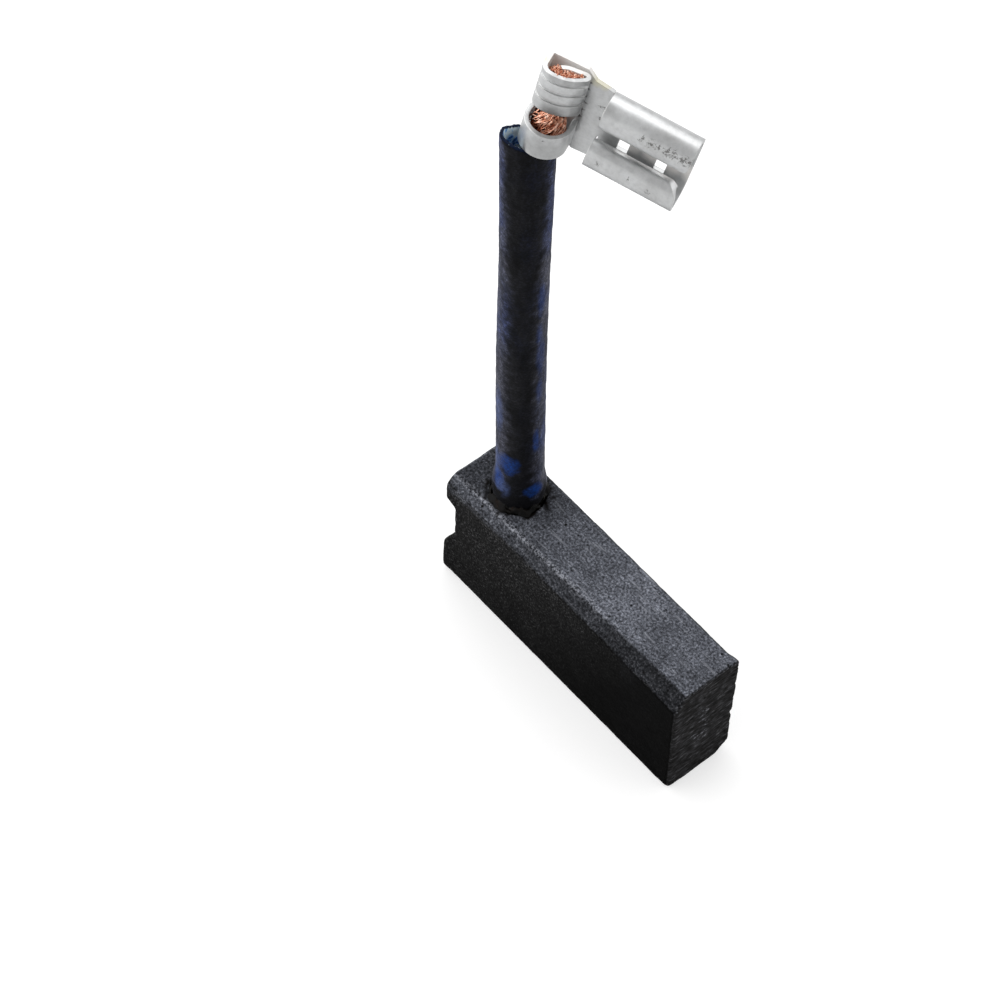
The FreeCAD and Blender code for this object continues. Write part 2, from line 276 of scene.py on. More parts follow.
def add_node(tree, kind, **inputs):
    """Node of one kind with its inputs set by name, spaces written as underscores."""
    node = tree.nodes.new(kind)
    for name, value in inputs.items():
        node.inputs[name.replace("_", " ")].default_value = value
    return node


def add_noise(tree, scale, detail=2.0, roughness=0.5, stretch=None):
    """Noise texture in object coordinates, in cells per metre, with an optional stretch."""
    place = tree.nodes.new("ShaderNodeTexCoord")
    texture = add_node(tree, "ShaderNodeTexNoise", Scale=scale, Detail=detail, Roughness=roughness)
    if stretch is None:
        tree.links.new(place.outputs["Object"], texture.inputs["Vector"])
    else:
        mapping = add_node(tree, "ShaderNodeMapping", Scale=stretch)
        tree.links.new(place.outputs["Object"], mapping.inputs["Vector"])
        tree.links.new(mapping.outputs["Vector"], texture.inputs["Vector"])
    return texture.outputs["Fac"]


def grey(level):
    """Neutral colour of one level."""
    return (level, level, level)


def add_ramp(tree, source, stops):
    """Colour ramp with (position, colour) stops on a source."""
    ramp = tree.nodes.new("ShaderNodeValToRGB")
    elements = ramp.color_ramp.elements
    elements[0].position = stops[0][0]
    elements[0].color = (*stops[0][1], 1.0)
    elements[1].position = stops[-1][0]
    elements[1].color = (*stops[-1][1], 1.0)
    for position, colour in stops[1:-1]:
        elements.new(position).color = (*colour, 1.0)
    tree.links.new(source, ramp.inputs["Fac"])
    return ramp.outputs["Color"]


def add_levels(tree, source, *stops):
    """Grey ramp with (position, level) stops on a source."""
    return add_ramp(tree, source, [(position, grey(level)) for position, level in stops])


def link_or_set(tree, socket, value):
    """Link a socket to another one, or give it a constant number or colour."""
    if isinstance(value, bpy.types.NodeSocket):
        tree.links.new(value, socket)
    elif isinstance(value, (int, float)):
        socket.default_value = value
    else:
        socket.default_value = (*value, 1.0)


def add_mix(tree, factor, first, second, blend="MIX"):
    """Colour mix. Factor, first and second are sockets or constant values."""
    mix = tree.nodes.new("ShaderNodeMix")
    mix.data_type = "RGBA"
    mix.blend_type = blend
    for socket, value in ((mix.inputs[0], factor), (mix.inputs[6], first), (mix.inputs[7], second)):
        link_or_set(tree, socket, value)
    return mix.outputs[2]


def add_product(tree, first, second):
    """Product of two colours."""
    return add_mix(tree, 1.0, first, second, "MULTIPLY")


def add_math(tree, operation, first, second):
    """Math node on two sockets or numbers."""
    node = tree.nodes.new("ShaderNodeMath")
    node.operation = operation
    link_or_set(tree, node.inputs[0], first)
    link_or_set(tree, node.inputs[1], second)
    return node.outputs["Value"]


def add_vector_math(tree, operation, first, second):
    """Number from a vector operation on a socket and a second socket or constant vector."""
    node = tree.nodes.new("ShaderNodeVectorMath")
    node.operation = operation
    tree.links.new(first, node.inputs[0])
    if isinstance(second, bpy.types.NodeSocket):
        tree.links.new(second, node.inputs[1])
    else:
        node.inputs[1].default_value = second
    return node.outputs["Value"]


def add_bump(tree, shader, height, strength, distance):
    """Bump from a height source on a shader, with its distance in metres."""
    bump = add_node(tree, "ShaderNodeBump", Strength=strength, Distance=distance)
    tree.links.new(height, bump.inputs["Height"])
    tree.links.new(bump.outputs["Normal"], shader.inputs["Normal"])
    return bump


def add_attribute(tree, name):
    """Named vertex weight of the mesh."""
    attribute = tree.nodes.new("ShaderNodeAttribute")
    attribute.attribute_name = name
    return attribute.outputs["Fac"]


def add_pits(tree, scale, size):
    """Scattered dots that are 1 at their middles, in cells per metre and shares of a cell."""
    place = tree.nodes.new("ShaderNodeTexCoord")
    cells = add_node(tree, "ShaderNodeTexVoronoi", Scale=scale)
    tree.links.new(place.outputs["Object"], cells.inputs["Vector"])
    return add_levels(tree, cells.outputs["Distance"], (size * 0.5, 1.0), (size, 0.0))


def add_nearness(tree, places):
    """1 at the middle of each (place, radius) spot in millimetres, falling to 0 at its edge."""
    near = 0.0
    coordinates = tree.nodes.new("ShaderNodeTexCoord")
    for spot, radius in places:
        distance = add_vector_math(tree, "DISTANCE", coordinates.outputs["Object"], Vector(spot) * MM)
        share = add_math(tree, "DIVIDE", distance, radius * MM)
        near = add_math(tree, "MAXIMUM", add_math(tree, "SUBTRACT", 1.0, share), near)
    return near


def carbon_material():
    """Pressed graphite: a speckled grey top and near-black sides, their difference partly the sanded top's
    own grey and partly painted light from above, a sawn end, rubbed edges and painted shade over the whole
    block.
    """
    material, tree, shader = new_material("carbon")
    grain = add_noise(tree, 4600.0, 3.0, 0.75)
    broad = add_noise(tree, 480.0, 4.0, 0.65)
    saw = add_noise(tree, 4000.0, 3.0, 0.65, (1.0, 0.3, 1.0))
    rubs = add_noise(tree, 3200.0, 2.0, 0.5, (0.12, 1.0, 1.0))
    # The top is lighter than the sides partly as painted light from above, and the sides darker partly as
    # painted shade
    side_grain_and_shade_colour = add_ramp(tree, grain, [
        (0.38, grey(0.0015)),
        (0.51, (0.010, 0.010, 0.0105)),
        (0.60, grey(0.032)),
        (0.70, (0.11, 0.11, 0.115)),
    ])
    top_grain_and_light_colour = add_ramp(tree, grain, [
        (0.32, (0.014, 0.014, 0.016)),
        (0.48, (0.064, 0.068, 0.080)),
        (0.60, (0.14, 0.148, 0.175)),
        (0.72, (0.30, 0.315, 0.36)),
    ])
    end_colour = add_ramp(tree, saw, [
        (0.34, grey(0.004)),
        (0.49, (0.018, 0.0175, 0.0175)),
        (0.59, (0.036, 0.036, 0.039)),
        (0.72, (0.10, 0.10, 0.105)),
    ])
    rub = add_levels(tree, rubs, (0.62, 0.0), (0.72, 0.5))
    top_grain_and_light_colour = add_mix(tree, rub, top_grain_and_light_colour, (0.24, 0.25, 0.28))
    colour = add_mix(tree, add_attribute(tree, "top_grain_and_painted_light"), side_grain_and_shade_colour, top_grain_and_light_colour)
    colour = add_mix(tree, add_attribute(tree, "end_face"), colour, end_colour)
    dots = add_levels(tree, grain, (0.46, 0.0), (0.58, 1.0))
    rubbed = add_math(tree, "MULTIPLY", add_attribute(tree, "rubbed"), dots)
    colour = add_mix(tree, rubbed, colour, (0.34, 0.35, 0.39))
    colour = add_product(tree, colour, add_levels(tree, broad, (0.3, 0.62), (0.5, 0.95), (0.7, 1.4)))
    # tone is painted shade: the sides darken towards a painted shadow at the front foot
    colour = add_product(tree, colour, add_attribute(tree, "tone"))
    open_grain = add_levels(tree, broad, (0.45, 0.0), (0.6, 1.0))
    pitted = add_math(tree, "MULTIPLY", add_pits(tree, 1500.0, 0.26), open_grain)
    colour = add_mix(tree, pitted, colour, grey(0.004))
    colour = add_mix(tree, add_attribute(tree, "stain"), colour, (0.003, 0.0025, 0.002))
    tree.links.new(colour, shader.inputs["Base Color"])
    shader.inputs["Roughness"].default_value = 0.65
    shader.inputs["Specular IOR Level"].default_value = 0.025
    add_bump(tree, shader, grain, 0.5, 0.00006)
    return material


def sleeve_material():
    """Dark woven sleeve with painted light on its flanks and painted shade down its middle, blue dye, a
    black wetted foot and a pale blue inside.
    """
    material, tree, shader = new_material("woven_sleeve")
    fine = add_noise(tree, 4200.0, 3.0, 0.7)
    streaks = add_noise(tree, 1000.0, 4.0, 0.65, (1.0, 1.0, 0.4))
    inner = add_noise(tree, 1500.0, 2.0, 0.6, (1.0, 1.0, 0.6))
    washes = add_noise(tree, 330.0, 3.0, 0.6, (1.0, 1.0, 0.5))
    cloth = add_ramp(tree, fine, [
        (0.34, (0.0022, 0.0024, 0.0038)),
        (0.52, (0.0045, 0.0048, 0.0078)),
        (0.70, (0.014, 0.0145, 0.022)),
    ])
    cloth = add_product(tree, cloth, add_levels(tree, streaks, (0.32, 0.55), (0.5, 1.0), (0.68, 1.7)))
    # Painted light and shade: the cloth is darkened where it faces the camera and brightened towards its
    # sides
    facing = add_node(tree, "ShaderNodeLayerWeight", Blend=0.5)
    painted_flank_light = add_levels(tree, facing.outputs["Facing"], (0.45, 0.0), (0.49, 0.12), (0.55, 0.55), (0.62, 1.0))
    painted_shade_middle_colour = add_product(tree, cloth, grey(0.6))
    painted_light_flank_colour = add_product(tree, cloth, grey(7.4))
    cloth = add_mix(tree, painted_flank_light, painted_shade_middle_colour, painted_light_flank_colour)
    cloth = add_product(tree, cloth, add_ramp(tree, washes, [
        (0.40, (1.0, 0.98, 0.88)),
        (0.52, (0.92, 0.98, 1.05)),
        (0.64, (0.75, 0.95, 1.5)),
    ]))
    flecks = add_levels(tree, fine, (0.36, 0.3), (0.6, 1.0))
    royal = add_math(tree, "MULTIPLY", add_attribute(tree, "royal"), flecks)
    pale = add_math(tree, "MULTIPLY", add_attribute(tree, "pale"), flecks)
    cloth = add_mix(tree, royal, cloth, (0.006, 0.040, 0.20))
    cloth = add_mix(tree, pale, cloth, (0.060, 0.090, 0.22))
    cloth = add_mix(tree, add_attribute(tree, "wet"), cloth, (0.003, 0.003, 0.004))
    lining = add_ramp(tree, inner, [
        (0.35, (0.03, 0.12, 0.42)),
        (0.42, (0.30, 0.56, 0.92)),
        (0.50, (0.82, 0.95, 1.0)),
    ])
    colour = add_mix(tree, add_attribute(tree, "inside"), cloth, lining)
    colour = add_mix(tree, add_attribute(tree, "rim"), colour, (0.004, 0.009, 0.028))
    tree.links.new(colour, shader.inputs["Base Color"])
    tree.links.new(add_levels(tree, streaks, (0.35, 0.66), (0.65, 0.46)), shader.inputs["Roughness"])
    shader.inputs["Specular IOR Level"].default_value = 0.08
    shader.inputs["Sheen Weight"].default_value = 0.05
    shader.inputs["Sheen Roughness"].default_value = 0.3
    shader.inputs["Sheen Tint"].default_value = (0.8, 0.83, 1.0, 1.0)
    add_bump(tree, shader, fine, 0.5, 0.00008)
    return material


def varnish_material():
    """Black-brown varnish, dull where it soaked in and glossy in drops."""
    material, tree, shader = new_material("varnish")
    clots = add_noise(tree, 1300.0, 3.0, 0.6)
    drops = add_noise(tree, 1000.0, 1.0, 0.5)
    colour = add_ramp(tree, clots, [
        (0.45, grey(0.0008)),
        (0.62, (0.003, 0.002, 0.0015)),
        (0.78, (0.016, 0.008, 0.005)),
    ])
    tree.links.new(colour, shader.inputs["Base Color"])
    tree.links.new(add_levels(tree, drops, (0.52, 0.6), (0.68, 0.15)), shader.inputs["Roughness"])
    shader.inputs["Specular IOR Level"].default_value = 0.12
    add_bump(tree, shader, clots, 0.6, 0.0002)
    return material


def copper_material(name, level):
    """Bare copper strands, from reddish brown to pink, at one level of brightness."""
    material, tree, shader = new_material(name)
    tone = add_noise(tree, 2600.0, 2.0, 0.6)
    colour = add_ramp(tree, tone, [
        (0.32, (0.36, 0.12, 0.07)),
        (0.48, (0.72, 0.34, 0.22)),
        (0.66, (0.97, 0.68, 0.55)),
    ])
    tree.links.new(add_product(tree, colour, grey(level)), shader.inputs["Base Color"])
    shader.inputs["Metallic"].default_value = 1.0
    shader.inputs["Roughness"].default_value = 0.24
    return material


def powder_material():
    """Tamped copper and graphite powder."""
    material, tree, shader = new_material("tamping_powder")
    grain = add_noise(tree, 8000.0, 2.0, 0.6)
    colour = add_ramp(tree, grain, [(0.35, (0.02, 0.012, 0.01)), (0.7, (0.16, 0.08, 0.05))])
    tree.links.new(colour, shader.inputs["Base Color"])
    shader.inputs["Roughness"].default_value = 0.8
    return material


def tin_material():
    """Satin tin plate over brass: soft edges, faint dents, a mottled skin, worn spots, painted light in the
    pocket and along the base, and painted shade on the crimp and round the ring.
    """
    material, tree, shader = new_material("tinned_brass")
    cloud = add_noise(tree, 420.0, 3.0, 0.55)
    mottle = add_noise(tree, 2400.0, 4.0, 0.65)
    speckle = add_noise(tree, 4600.0, 4.0, 0.75)
    geometry = tree.nodes.new("ShaderNodeNewGeometry")
    soft = add_node(tree, "ShaderNodeBevel", Radius=SHEET_EDGE_RADIUS * MM)
    soft.samples = 6
    turned = add_vector_math(tree, "DOT_PRODUCT", soft.outputs["Normal"], geometry.outputs["Normal"])
    colour = add_ramp(tree, cloud, [(0.3, (0.58, 0.585, 0.585)), (0.7, (0.71, 0.72, 0.725))])
    colour = add_product(tree, colour, add_levels(tree, mottle, (0.3, 0.88), (0.5, 0.99), (0.7, 1.06)))
    edge = add_levels(tree, turned, (0.80, 0.5), (0.97, 0.0))
    colour = add_mix(tree, edge, colour, (0.52, 0.51, 0.46))
    brass_place = add_levels(tree, add_nearness(tree, BRASS_PLACES), (0.1, 0.0), (0.5, 0.8))
    brass = add_math(tree, "MULTIPLY", brass_place, add_levels(tree, turned, (0.9, 1.0), (0.995, 0.5)))
    colour = add_mix(tree, brass, colour, (0.68, 0.62, 0.34))
    # Painted light: the pocket and the base between the wings are made pale and less glossy where shade
    # falls
    pale = add_levels(tree, add_nearness(tree, PAINTED_LIGHT_PLACES), (0.0, 0.0), (0.4, 1.0))
    colour = add_mix(tree, pale, colour, (0.86, 0.84, 0.82))
    # Painted shade: darker on the crimp's rim, below its ribs and round the ring
    painted_shade = add_levels(tree, add_nearness(tree, PAINTED_SHADE_PLACES), (0.0, 1.0), (0.55, 0.76))
    colour = add_product(tree, colour, painted_shade)
    worn = add_math(tree, "MULTIPLY", add_nearness(tree, WORN_PLACES), 0.3)
    spots = add_levels(tree, add_math(tree, "ADD", speckle, worn), (0.70, 0.0), (0.78, 0.8))
    colour = add_mix(tree, spots, colour, (0.11, 0.105, 0.10))
    tree.links.new(colour, shader.inputs["Base Color"])
    tree.links.new(add_levels(tree, pale, (0.0, 0.85), (1.0, 0.15)), shader.inputs["Metallic"])
    tree.links.new(add_levels(tree, cloud, (0.3, 0.28), (0.7, 0.38)), shader.inputs["Roughness"])
    bump = add_bump(tree, shader, mottle, 0.2, 0.00003)
    tree.links.new(soft.outputs["Normal"], bump.inputs["Normal"])
    return material


def only_material(mesh, material):
    """Make a material the only one of a mesh."""
    mesh.materials.clear()
    mesh.materials.append(material)


def own_mesh(name, mesh, material):
    """New object that holds a mesh and one material."""
    piece = bpy.data.objects.new(name, mesh)
    bpy.context.scene.collection.objects.link(piece)
    only_material(mesh, material)
    return piece


def remeshed(node, name, voxel):
    """Even voxel mesh of a CAD node, at a voxel size in metres."""
    copy = bpy.data.objects.new(name + "_copy", nodes[node].data.copy())
    bpy.context.scene.collection.objects.link(copy)
    remesh = copy.modifiers.new("even", "REMESH")
    remesh.mode = "VOXEL"
    remesh.voxel_size = voxel
    remesh.use_smooth_shade = True
    evaluated = copy.evaluated_get(bpy.context.evaluated_depsgraph_get())
    mesh = bpy.data.meshes.new_from_object(evaluated)
    mesh.name = name
    bpy.data.objects.remove(copy)
    return mesh


def open_mesh(mesh):
    """Editable copy of a mesh with its normals."""
    bm = bmesh.new()
    bm.from_mesh(mesh)
    bm.normal_update()
    return bm


def close_mesh(bm, mesh, weights):
    """Write an editable copy back to its mesh, with one number a vertex for each named weight."""
    bm.to_mesh(mesh)
    bm.free()
    for name, values in weights.items():
        layer = mesh.attributes.new(name, "FLOAT", "POINT")
        layer.data.foreach_set("value", values)


def smooth(bm, verts, turns):
    """Round off some vertices, turn by turn."""
    for turn in range(turns):
        bmesh.ops.smooth_vert(
            bm, verts=verts, factor=0.5, use_axis_x=True, use_axis_y=True, use_axis_z=True
        )
    bm.normal_update()


def convexity(bm):
    """How far each vertex stands proud of its neighbours, in millimetres."""
    proud = []
    for vertex in bm.verts:
        middle = Vector()
        for edge in vertex.link_edges:
            middle += edge.other_vert(vertex).co
        middle /= max(1, len(vertex.link_edges))
        proud.append((vertex.co - middle).dot(vertex.normal) / MM)
    return proud


def ramp_share(value, start, end):
    """Share from 0 at start to 1 at end, kept between them."""
    return min(1.0, max(0.0, (value - start) / (end - start)))


def share_along(place):
    """Share of the block's length, from 0 at its rear end to 1 at its front."""
    return ramp_share(place.x, -BLOCK_FRONT, BLOCK_FRONT)


def raggedness(place):
    """Slow noise that makes the block's chips, stain and rubbed lines uneven."""
    return noise.noise(place * 1.3 + Vector((7, 3, 1)))


def block_painted_shade(place, normal):
    """Painted shade over the block: the top darker at the rear and a little at the front, the bevel darker
    towards the front, the sawn end left as it is, and the sides darker towards the bottom and the front,
    with a painted shadow darkest at the front foot.
    """
    along = share_along(place)
    height = ramp_share(place.z, 0.0, BLOCK_TOP)
    if normal.z > 0.9:
        return 0.42 + 0.85 * ramp_share(along, 0.05, 0.62) - 0.3 * ramp_share(along, 0.65, 1.0)
    if normal.z > 0.45:
        return 1.05 - 0.5 * along
    if normal.x > 0.6:
        return 1.0
    return (0.45 + 0.75 * height) * (1.0 - 0.94 * ramp_share(along - 0.3 * height, 0.15, 0.6))


def top_grain_and_light_weight(place, normal):
    """How grey and lit a place is: all of the top, grey partly by its own sanding and partly by painted
    light from above, and the near side's rubbed upper edge towards the rear.
    """
    top = ramp_share(normal.z, 0.55, 0.85)
    if place.y > 0.3 - BLOCK_SIDE or normal.z > 0.5:
        return top
    along = share_along(place)
    rubbed_down_to = BLOCK_TOP - 1.6 + 1.3 * along
    near_top = ramp_share(place.z + 0.5 * raggedness(place), rubbed_down_to, BLOCK_TOP - 0.6)
    return max(top, 0.55 * near_top * (1 - along))


def rubbed_weight(place, normal, edge):
    """How rubbed a place is: the near bevel's upper line, worn edges and scratches on the sawn end."""
    along = share_along(place)
    bevel = NEAR_BEVEL_REAR + (NEAR_BEVEL_FRONT - NEAR_BEVEL_REAR) * along
    across = place.y + BLOCK_SIDE - bevel - 0.15 * raggedness(place)
    off_line = math.hypot(across, place.z - BLOCK_TOP)
    line = ramp_share(off_line, 0.32, 0.1) * ramp_share(along, 0.75, 0.4)
    worn_edge = ramp_share(edge, 0.012, 0.04) * (0.3 + 0.7 * ramp_share(place.z, 3, 13))
    scratched = 0.0
    if normal.x > 0.8 and abs(place.y + 0.3) < 0.9 and 4.6 < place.z < 9.4:
        scratched = ramp_share(noise.noise(Vector((9.0, place.y * 0.5, place.z * 4.0))), 0.2, 0.4)
    return min(1.0, 0.8 * line + worn_edge + scratched)


def stain_weight(place):
    """How far varnish has soaked into the block's top round the bead."""
    if place.z < BLOCK_TOP - 1.0:
        return 0.0
    from_hole = math.hypot(place.x - HOLE.x, place.y - HOLE.y)
    return ramp_share(from_hole + 0.9 * raggedness(place), STAIN_EDGE, STAIN_FULL)


def block_move(place, normal, edge):
    """Move of one place on the block: grain, saw marks, chips, the far corner's burr and worn lobes."""
    ragged = raggedness(place)
    relief = noise.noise(place * 3.1) * 0.016 + noise.noise(place * 0.7) * 0.03
    if normal.x > 0.8:
        relief += noise.noise(Vector((3.0, place.y * 0.35, place.z * 4.5))) * 0.04
    relief -= max(0.0, ragged - 0.1) * ramp_share(edge, 0.01, 0.05) * 0.3
    far_end = ramp_share(place.x, BLOCK_FRONT - 1.2, BLOCK_FRONT)
    far_side = ramp_share(place.y, BLOCK_SIDE - 1.0, BLOCK_SIDE)
    burr = 0.12 + 0.22 * ramp_share(place.z, 2.0, BLOCK_TOP) - 0.25 * max(0.0, ragged)
    burr_way = Vector((0.5, 1.0, 0.0)) * far_end * far_side
    rear = ramp_share(place.x, 1.6 - BLOCK_FRONT, 0.4 - BLOCK_FRONT)
    lobe_way = Vector((-0.2, -0.2, 0.0)) * rear * ramp_share(place.y, -1.5, -3.2)
    return (normal * relief + burr_way * burr + lobe_way) * MM


def make_block(material):
    """Worn copy of the block: grain, rounded rubbed edges, chips and saw marks on its end."""
    mesh = remeshed("carbon_block", "block_body", BLOCK_VOXEL * MM)
    bm = open_mesh(mesh)
    front_foot = Vector((BLOCK_FRONT, -BLOCK_SIDE, 0.0)) * MM
    sharp = [vertex for vertex, edge in zip(bm.verts, convexity(bm)) if edge > SHARP_EDGE]
    rear = [vertex for vertex in bm.verts if vertex.co.x < (WORN_REACH - BLOCK_FRONT) * MM]
    foot = [vertex for vertex in bm.verts if (vertex.co - front_foot).length < WORN_REACH * MM]
    smooth(bm, sharp, EDGE_TURNS)
    smooth(bm, rear, REAR_TURNS)
    smooth(bm, foot, FOOT_TURNS)
    weights = {"top_grain_and_painted_light": [], "end_face": [], "rubbed": [], "stain": [], "tone": []}
    for vertex, edge in zip(bm.verts, convexity(bm)):
        place = vertex.co / MM
        weights["top_grain_and_painted_light"].append(top_grain_and_light_weight(place, vertex.normal))
        weights["end_face"].append(ramp_share(vertex.normal.x, 0.5, 0.8))
        weights["rubbed"].append(rubbed_weight(place, vertex.normal, edge))
        weights["stain"].append(stain_weight(place))
        # tone: painted shade over the block
        weights["tone"].append(block_painted_shade(place, vertex.normal))
        vertex.co += block_move(place, vertex.normal, edge)
    close_mesh(bm, mesh, weights)
    piece = own_mesh("block_body", mesh, material)
    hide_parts("carbon_block")
    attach(piece, "root")
    return piece


def sleeve_centre(height):
    """Middle of the sleeve at one height, in metres."""
    index = min(max(1, bisect.bisect_left(SLEEVE_HEIGHTS, height)), len(SLEEVE_LINE) - 1)
    low, high = SLEEVE_LINE[index - 1], SLEEVE_LINE[index]
    return low.lerp(high, (height - low.z) / (high.z - low.z))


def patch_share(patches, turn, height):
    """How far a place on the sleeve lies inside any patch: 1 at its middle, 0 at its edge."""
    most = -9.0
    for middle, level, half_width, half_height in patches:
        round_way = math.remainder(turn - math.radians(middle), 2 * math.pi) * SLEEVE_RADIUS
        most = max(most, 1.0 - math.hypot(round_way / half_width, (height - level) / half_height) ** 2)
    return most


def cloth_relief(place, turn):
    """Outward relief of the sleeve's cloth in millimetres: its weave, its waves and its spread foot."""
    weave = math.sin(turn * WEAVE_COUNT + place.z * WEAVE_SLOPE)
    weave *= math.sin(turn * WEAVE_COUNT - place.z * WEAVE_SLOPE)
    waves = 0.03 * noise.noise(place * 1.2) + 0.03 * noise.noise(place * 0.4)
    flare = FLARE_DEPTH * math.exp(-((place.z - FLARE_HEIGHT) / FLARE_REACH) ** 2)
    return WEAVE_DEPTH * weave + waves + flare * math.cos(turn - FLARE_HEADING) ** 2


def make_sleeve(material):
    """Woven copy of the sleeve: fine relief, a foot that spreads, blue patches and a rough mouth."""
    mesh = remeshed("insulating_sleeve", "sleeve_body", SLEEVE_VOXEL * MM)
    bm = open_mesh(mesh)
    smooth(bm, [vertex for vertex in bm.verts if abs(vertex.normal.z) < 0.4], WALL_TURNS)
    weights = {"inside": [], "rim": [], "wet": [], "royal": [], "pale": []}
    for vertex in bm.verts:
        place = vertex.co / MM
        centre = sleeve_centre(vertex.co.z)
        away = vertex.co - centre
        away.z = 0.0
        radius = away.length / MM
        away.normalize()
        turn = math.atan2(away.y, away.x)
        uneven = noise.noise(place * 1.2)
        inner = vertex.normal.dot(away) < 0
        round_radius = SLEEVE_RADIUS - SLEEVE_WALL if inner else SLEEVE_RADIUS
        if abs(radius - round_radius) < SLEEVE_WALL / 3:
            radius += (round_radius - radius) * ramp_share(place.z, OVAL_ABOVE, ROUND_UP_TO)
        radius += 0.05 * uneven if inner else cloth_relief(place, turn)
        vertex.co.x = centre.x + away.x * radius * MM
        vertex.co.y = centre.y + away.y * radius * MM
        if place.z > ROUGH_ABOVE:
            round_the_mouth = Vector((math.cos(turn), math.sin(turn), 0.3))
            vertex.co.z += 0.15 * noise.noise(round_the_mouth * 2.5) * MM
        dye = 0.45 * noise.noise(place * 1.6)
        royal = patch_share(ROYAL_PATCHES, turn, place.z) + dye
        pale = patch_share(PALE_PATCHES, turn, place.z) + dye
        faded = 0.45 + 0.55 * ramp_share(place.z, DYE_FADED_ABOVE, DYE_FADES_FROM)
        weights["inside"].append(1.0 if inner and place.z > LINING_ABOVE else 0.0)
        weights["rim"].append(1.0 if vertex.normal.z > 0.5 and place.z > RIM_ABOVE else 0.0)
        weights["wet"].append(ramp_share(place.z + 1.4 * uneven, DRY_ABOVE, BLACK_UP_TO))
        weights["royal"].append(faded * ramp_share(royal, -0.5, 0.8))
        weights["pale"].append(0.8 * ramp_share(pale, -0.5, 0.9))
    close_mesh(bm, mesh, weights)
    piece = own_mesh("sleeve_body", mesh, material)
    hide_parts("insulating_sleeve")
    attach(piece, "root")
    return piece


def make_bead(material):
    """Ragged copy of the varnish bead that thins out over the block."""
    mesh = remeshed("varnish_bead", "varnish_drop", BEAD_VOXEL * MM)
    bm = open_mesh(mesh)
    for vertex in bm.verts:
        away = vertex.co / MM - HOLE
        height = away.z
        away.z = 0.0
        radius = away.length
        away.normalize()
        ragged = noise.noise(away * 1.6 + Vector((2.0, 5.0, 1.0))) + 0.6 * noise.noise(away * 5.0)
        lumps = noise.noise(vertex.co / MM * 1.4)
        if height > BLOCK_TOP - 0.3:
            spread = max(0.0, radius - BEAD_NECK)
            radius = radius - spread * (0.2 - 1.4 * ragged)
            thickness = max(0.0, BEAD_EDGE - radius) * (0.5 + 0.9 * lumps + 0.5 * ragged)
            height = min(height, BLOCK_TOP + 0.05 + thickness)
        vertex.co = (HOLE + away * radius + Vector((0.0, 0.0, height))) * MM
    close_mesh(bm, mesh, {})
    piece = own_mesh("varnish_drop", mesh, material)
    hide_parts("varnish_bead")
    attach(piece, "root")
    return piece


def add_tube(bm, centres, radius, sides):
    """Closed tube through centres."""
    rings = []
    side_way = Vector((1.0, 0.0, 0.0))
    for i, centre in enumerate(centres):
        forward = centres[min(i + 1, len(centres) - 1)] - centres[max(i - 1, 0)]
        forward.normalize()
        side_way = side_way - forward * side_way.dot(forward)
        side_way.normalize()
        other_way = forward.cross(side_way)
        ring = []
        for k in range(sides):
            turn = 2 * math.pi * k / sides
            out = side_way * math.cos(turn) + other_way * math.sin(turn)
            ring.append(bm.verts.new(centre + out * radius))
        rings.append(ring)
    for low, high in zip(rings, rings[1:]):
        for k in range(sides):
            after = (k + 1) % sides
            bm.faces.new((low[k], low[after], high[after], high[k]))
    bm.faces.new(rings[0][::-1])
    bm.faces.new(rings[-1])


def tube_mesh(name, tubes, sides):
    """Smooth mesh of several tubes, each a list of centres and a radius."""
    bm = bmesh.new()
    for centres, radius in tubes:
        add_tube(bm, centres, radius, sides)
    for face in bm.faces:
        face.smooth = True
    mesh = bpy.data.meshes.new(name)
    bm.to_mesh(mesh)
    bm.free()
    return mesh


def make_lead(material):
    """Twisted bundles of the copper lead along its whole path."""
    bundle_radius = LEAD_DIAMETER / 2 * BUNDLE_SHARE
    ring_radius = LEAD_DIAMETER / 2 - bundle_radius
    tubes = [(LEAD_LINE, bundle_radius * MM)]
    for k in range(BUNDLES):
        centres = []
        travelled = 0.0
        for i, place in enumerate(LEAD_LINE):
            if i:
                travelled += (place - LEAD_LINE[i - 1]).length
            turn = 2 * math.pi * (k / BUNDLES + travelled / (BUNDLE_LAY * MM))
            centres.append(place + Vector((math.cos(turn), math.sin(turn), 0.0)) * ring_radius * MM)
        tubes.append((centres, bundle_radius * MM))
    piece = own_mesh("lead_bundles", tube_mesh("lead_bundles", tubes, 10), material)
    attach(piece, "root")
    return piece


def terminal_point(out, back, up):
    """Point of the terminal's own frame in the part's frame, from millimetres to metres."""
    return TERMINAL_FOOT + (TERMINAL_OUT * out + TERMINAL_BACK * back + TERMINAL_UP * up) * MM


def make_loose_strands(material):
    """Fine strands that spread from the sleeve's mouth, through the ring, into the crimp."""
    rng = random.Random(5)
    # Without a seed, vector noise takes one from the clock and changes from run to run
    noise.seed_set(3)
    tubes = []
    for k in range(LOOSE_STRANDS):
        turn = rng.uniform(0, 2 * math.pi)
        spread = math.sqrt(rng.random())
        twist = rng.uniform(0.6, 3.0)
        tangle = 0.12 + 0.4 * rng.random() ** 2
        centres = []
        for i in range(LOOSE_STEPS + 1):
            share = i / LOOSE_STEPS
            radius = (0.45 + 0.90 * math.sin(math.pi * share)) * spread
            angle = turn + twist * share * 1.6
            wobble = noise.noise_vector(Vector((k * 3.7, share * 7.0, 1.0)))
            wobble *= tangle * min(1.0, 0.2 + 2.0 * share)
            out = -0.45 + 0.25 * share + 1.2 * radius * math.cos(angle)
            back = -0.50 + 0.75 * share + radius * math.sin(angle)
            up = LOOSE_START + share * LOOSE_RISE
            centres.append(terminal_point(out + wobble.x, back + wobble.y, up + wobble.z))
        tubes.append((centres, LOOSE_RADIUS * MM))
    piece = own_mesh("ring_strands", tube_mesh("ring_strands", tubes, 6), material)
    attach(piece, "root")
    return piece


